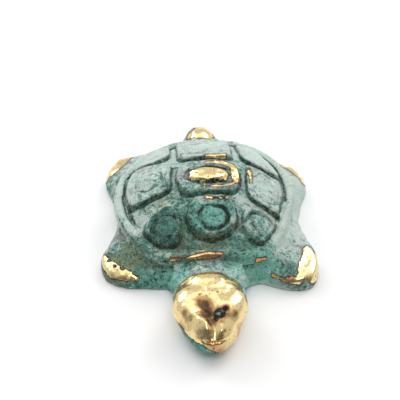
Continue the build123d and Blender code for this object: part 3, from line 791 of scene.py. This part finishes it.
def castFinish(name):
    material, tree = emptyMaterial(name)
    place = addNode(tree, "ShaderNodeTexCoord").outputs["Object"]
    titles = ("bare", "hollow", "proud", "tarnishAndDarkReflection", "wall") + toneTitles
    read = {key: addNode(tree, "ShaderNodeAttribute", attribute_name=key).outputs["Fac"] for key in titles}
    cloud = noiseAt(tree, place, 5.0, 3, 0.5)
    mottle = noiseAt(tree, place, 1.5, 6, 0.7, 0.4)
    second = noiseAt(tree, addNode(tree, "ShaderNodeMapping", {"Vector": place, "Location": (0.031, 0.017, 0.023)}).outputs[0], 1.1, 6, 0.7)
    grain = noiseAt(tree, place, 0.32, 3, 0.6)
    crumbs = noiseAt(tree, place, 0.75, 3, 0.6)
    smudge = noiseAt(tree, place, 3.2, 5, 0.65)

    def patchy(key, spread, noise, *more):
        # an amount broken up into patches
        total = sums(tree, "ADD", read[key], between(tree, noise, 0.25, 0.75, -spread, spread))
        for value in more:
            total = sums(tree, "ADD", total, value)
        return total

    # verdigris: teal under turquoise, pale dust with a painted sheen and highlight, olive, mauve, and dark dirt with
    # painted shade
    colour = mixColour(tree, between(tree, mottle, 0.32, 0.62), patina["tealDeep"], patina["teal"])
    colour = mixColour(tree, between(tree, patchy("turquoise", 0.6, second), 0.35, 1.05, 0.0, 0.95), colour, patina["turquoise"])
    paleCrustAndSheen = mixColour(tree, between(tree, cloud, 0.35, 0.65), patina["mint"], patina["dustAndSheen"])
    # pale is dust with a painted highlight on proud crests; painted shade takes it back in hollows and on the forward
    # walls
    pale = patchy("pale", 0.36, mottle, between(tree, grain, 0.25, 0.75, -0.2, 0.2), between(tree, read["proud"], 0.1, 0.6, 0.0, 0.4),
                  between(tree, read["hollow"], 0.08, 0.4, 0.0, -0.35), sums(tree, "MULTIPLY", read["wall"], -0.35))
    colour = mixColour(tree, between(tree, pale, 0.30, 0.90, 0.0, 0.95), colour, paleCrustAndSheen)
    olive = patchy("olive", 0.35, second, between(tree, read["hollow"], 0.05, 0.35, 0.0, 0.25))
    colour = mixColour(tree, between(tree, olive, 0.25, 0.75, 0.0, 0.9), colour, patina["olive"])
    mauve = patchy("mauve", 0.55, smudge, between(tree, read["bare"], 0.20, 0.42, 0.0, 0.5))
    colour = mixColour(tree, between(tree, mauve, 0.30, 0.80, 0.0, 0.85), colour, patina["mauve"])
    # dark is dirt and the tone's own dark, plus painted shade in hollows and on the forward walls
    dark = patchy("dark", 0.40, crumbs, between(tree, grain, 0.25, 0.75, -0.25, 0.25), between(tree, read["hollow"], 0.20, 0.70, 0.0, 0.5),
                  sums(tree, "MULTIPLY", read["wall"], 0.18))
    colour = mixColour(tree, between(tree, dark, 0.45, 0.80, 0.0, 0.9), colour, patina["dark"])
    bold = between(tree, read["pale"], 0.2, 1.0, 0.95, 0.22)  # the grain shows more in the deep tones
    colour = mixColour(tree, between(tree, crumbs, 0.43, 0.33, 0.0, bold), colour, patina["dark"])
    fine = between(tree, read["pale"], 0.3, 1.0, 0.42, 0.2)
    colour = mixColour(tree, between(tree, grain, 0.48, 0.30, 0.0, fine), colour, patina["tealDeep"])
    colour = mixColour(tree, between(tree, grain, 0.57, 0.70, 0.0, 0.4), colour, patina["speck"])

    # rubbed places with a ragged dark border
    ragged = sums(tree, "ADD", read["bare"], between(tree, noiseAt(tree, place, 2.6, 4, 0.6), 0.25, 0.75, -0.07, 0.07))
    ragged = sums(tree, "ADD", ragged, between(tree, noiseAt(tree, place, 0.7, 3, 0.6), 0.25, 0.75, -0.04, 0.04))
    colour = mixColour(tree, between(tree, ragged, 0.40, 0.47, 0.0, 0.9), colour, patina["border"])
    pits = between(tree, noiseAt(tree, place, 0.8, 3, 0.6, 0.6), 0.37, 0.30)
    cover = between(tree, ragged, 0.49, 0.505)
    metal = sums(tree, "MULTIPLY", cover, sums(tree, "SUBTRACT", 1.0, sums(tree, "MULTIPLY", pits, 0.8)))
    # tarnish, with a painted darker reflection on the head, turns the gold to copper, brown and near black
    tarnishWithDarkReflection = sums(tree, "ADD", read["tarnishAndDarkReflection"], between(tree, noiseAt(tree, place, 2.0, 5, 0.65), 0.3, 0.7, -0.16, 0.16))
    gold = mixColour(tree, between(tree, tarnishWithDarkReflection, 0.05, 0.55), brass["bright"], brass["copper"])
    gold = mixColour(tree, between(tree, tarnishWithDarkReflection, 0.55, 0.95), gold, brass["brown"])
    gold = mixColour(tree, between(tree, tarnishWithDarkReflection, 0.95, 1.25), gold, patina["border"])
    gold = mixColour(tree, pits, gold, brass["brown"])
    colour = mixColour(tree, cover, colour, gold)

    worn = sums(tree, "ADD", between(tree, grain, 0.3, 0.7, brass["rough"] - 0.05, brass["rough"] + 0.1), between(tree, tarnishWithDarkReflection, 0.3, 0.9, 0.0, 0.25))
    rough = mixValue(tree, metal, patina["rough"], worn)
    crust = sums(tree, "ADD", sums(tree, "MULTIPLY", mottle, 1.0), sums(tree, "MULTIPLY", grain, 0.6))
    smooth = sums(tree, "ADD", sums(tree, "MULTIPLY", noiseAt(tree, place, 2.2, 3, 0.5), 0.35), sums(tree, "MULTIPLY", pits, -0.6))
    height = mixValue(tree, between(tree, ragged, 0.47, 0.51), crust, smooth)
    bumped = addNode(tree, "ShaderNodeBump", {"Height": height, "Strength": 0.8, "Distance": 0.0003}).outputs[0]
    shader = addNode(tree, "ShaderNodeBsdfPrincipled", {"Base Color": colour, "Metallic": metal, "Roughness": rough, "Normal": bumped,
                                                        "Specular IOR Level": 0.3})
    addNode(tree, "ShaderNodeOutputMaterial", {0: shader.outputs[0]})
    return material


finish = castFinish("patinaAndRubbedBrass")
for name in names:
    piece = makePiece(name)
    piece.data.materials.append(finish)
    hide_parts(name)
    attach(piece, "root")
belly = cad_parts["plastron"]
belly.data.materials.clear()
belly.data.materials.append(finish)

# Floor, light and camera
studio = {
    "floor": (0.9, 0.9, 0.9),
    "lift": 0.04,  # what the camera sees of the floor is lifted to white, with the shadow kept
    "sky": (0.75, 0.15),  # strength of the surround behind the object and in front of it
}


def floorFinish():
    material, tree = emptyMaterial("paleFloor")
    seen = addNode(tree, "ShaderNodeLightPath").outputs
    direct = sums(tree, "MAXIMUM", seen["Is Camera Ray"], sums(tree, "MAXIMUM", seen["Is Glossy Ray"], seen["Is Transmission Ray"]))
    lift = sums(tree, "MULTIPLY", direct, studio["lift"])
    shader = addNode(tree, "ShaderNodeBsdfPrincipled", {"Base Color": (*studio["floor"], 1), "Roughness": 0.9, "Specular IOR Level": 0.0,
                                                        "Emission Color": (1, 1, 1, 1), "Emission Strength": lift})
    addNode(tree, "ShaderNodeOutputMaterial", {0: shader.outputs[0]})
    return material


floorMesh = bpy.data.meshes.new("floor")
floorMesh.from_pydata([(-2, -2, 0), (2, -2, 0), (2, 2, 0), (-2, 2, 0)], [], [(0, 1, 2, 3)])
floor = bpy.data.objects.new("floor", floorMesh)
bpy.context.scene.collection.objects.link(floor)
floorMesh.materials.append(floorFinish())

view = {"elevation": 40.0, "azimuth": -1.5, "distance": 420.0, "target": (0, -1.5, 6.0), "pixelsPerMm": 4.1, "frame": 400.0,
        "targetPixel": (207.5, 205.0)}
camera = bpy.data.cameras.new("camera")
camera.sensor_width = 36
camera.lens = view["pixelsPerMm"] * view["distance"] / view["frame"] * camera.sensor_width
camera.shift_x = -(view["targetPixel"][0] - view["frame"] / 2) / view["frame"]
camera.shift_y = (view["targetPixel"][1] - view["frame"] / 2) / view["frame"]
camera.clip_start = 0.01
cameraObject = bpy.data.objects.new("camera", camera)
bpy.context.scene.collection.objects.link(cameraObject)
up, round_ = math.radians(view["elevation"]), math.radians(view["azimuth"])
way = Vector((math.sin(round_) * math.cos(up), -math.cos(round_) * math.cos(up), math.sin(up)))
cameraObject.location = (Vector(view["target"]) + way * view["distance"]) * mm
cameraObject.rotation_euler = way.to_track_quat("Z", "Y").to_euler()
bpy.context.scene.camera = cameraObject

lamps = {
    "top": {"place": (0, 0.2, 0.7), "size": 0.6, "power": 0.8},
    "front": {"place": (0.05, -0.42, 0.78), "size": 0.35, "power": 1.4},
    "left": {"place": (-0.46, 0.54, 0.48), "size": 0.4, "power": 2.0},
    "right": {"place": (0.44, 0.50, 0.56), "size": 0.4, "power": 2.0},
}
for name, lamp in lamps.items():
    light = bpy.data.lights.new(name, "AREA")
    light.size = lamp["size"]
    light.energy = lamp["power"]
    obj = bpy.data.objects.new(name, light)
    obj.location = lamp["place"]
    obj.rotation_euler = Vector(lamp["place"]).to_track_quat("Z", "Y").to_euler()
    bpy.context.scene.collection.objects.link(obj)
world = bpy.data.worlds.new("studio")
bpy.context.scene.world = world
world.use_nodes = True
sky = world.node_tree
sky.nodes.clear()
toward = addNode(sky, "ShaderNodeSeparateXYZ", {0: addNode(sky, "ShaderNodeTexCoord").outputs["Generated"]}).outputs["Y"]
strength = between(sky, toward, 0.0, -0.7, *studio["sky"])
strength = mixValue(sky, addNode(sky, "ShaderNodeLightPath").outputs["Is Camera Ray"], strength, 1.0)
surround = addNode(sky, "ShaderNodeBackground", {"Color": (1, 1, 1, 1), "Strength": strength})
addNode(sky, "ShaderNodeOutputWorld", {0: surround.outputs[0]})
bpy.context.scene.view_settings.view_transform = "Standard"
